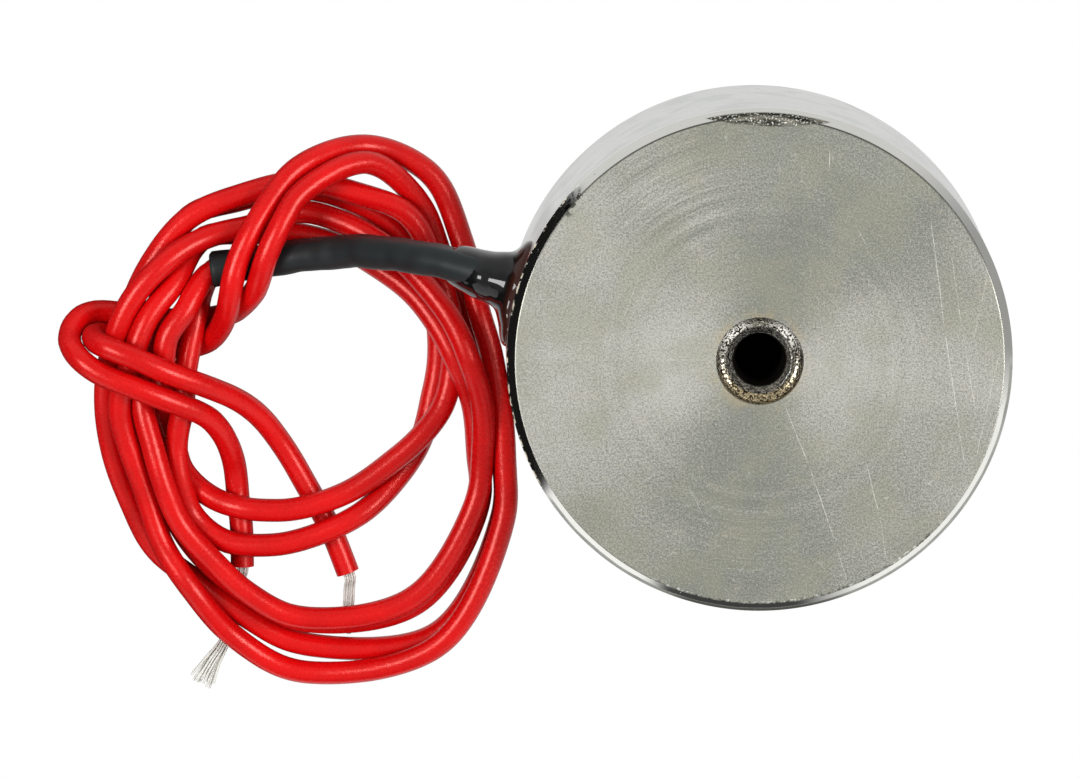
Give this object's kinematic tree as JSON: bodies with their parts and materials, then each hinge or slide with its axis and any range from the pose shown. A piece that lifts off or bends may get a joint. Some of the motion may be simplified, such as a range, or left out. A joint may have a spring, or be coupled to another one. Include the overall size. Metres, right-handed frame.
{
  "type": "holding electromagnet",
  "caption": "Round steel pot electromagnet that holds steel at its open face, with a threaded hole in its back and two loose red leads.",
  "frame": {"origin": "centre of the holding face, on the pot's axis", "axes": "+Z along the pot's axis, from the holding face to the mounting face; the leads leave towards -X"},
  "size_m": [0.0652, 0.0418, 0.018],
  "materials": {
    "steel": "fine turned, with light scratches",
    "nylon": "moulded",
    "copper": "enamelled copper wire",
    "tape": "polyester tape",
    "resin": "cast resin",
    "solder": "solder",
    "sleeve": "satin shrunk tubing",
    "epoxy": "glossy black epoxy",
    "red_insulation": "satin extruded",
    "tinned_copper": "bright tinned strands"
  },
  "bodies": {
    "root": {"pot": "steel", "bobbin": "nylon", "winding": "copper", "winding_tape": "tape", "potting_resin": "resin", "start_wire": "copper", "finish_wire": "copper", "start_splice": "solder", "finish_splice": "solder", "start_splice_sleeve": "sleeve", "finish_splice_sleeve": "sleeve", "heat_shrink_sleeve": "sleeve", "adhesive": "epoxy", "lead_1": "red_insulation", "lead_2": "red_insulation", "lead_1_strand_01": "tinned_copper", "lead_1_strand_02": "tinned_copper", "lead_1_strand_03": "tinned_copper", "lead_1_strand_04": "tinned_copper", "lead_1_strand_05": "tinned_copper", "lead_1_strand_06": "tinned_copper", "lead_1_strand_07": "tinned_copper", "lead_1_strand_08": "tinned_copper", "lead_1_strand_09": "tinned_copper", "lead_1_strand_10": "tinned_copper", "lead_1_strand_11": "tinned_copper", "lead_1_strand_12": "tinned_copper", "lead_1_strand_13": "tinned_copper", "lead_1_strand_14": "tinned_copper", "lead_1_strand_15": "tinned_copper", "lead_1_strand_16": "tinned_copper", "lead_1_strand_17": "tinned_copper", "lead_2_strand_01": "tinned_copper", "lead_2_strand_02": "tinned_copper", "lead_2_strand_03": "tinned_copper", "lead_2_strand_04": "tinned_copper", "lead_2_strand_05": "tinned_copper", "lead_2_strand_06": "tinned_copper", "lead_2_strand_07": "tinned_copper", "lead_2_strand_08": "tinned_copper", "lead_2_strand_09": "tinned_copper", "lead_2_strand_10": "tinned_copper", "lead_2_strand_11": "tinned_copper", "lead_2_strand_12": "tinned_copper", "lead_2_strand_13": "tinned_copper", "lead_2_strand_14": "tinned_copper", "lead_2_strand_15": "tinned_copper", "lead_2_strand_16": "tinned_copper", "lead_2_strand_17": "tinned_copper"}
  },
  "joints": []
}
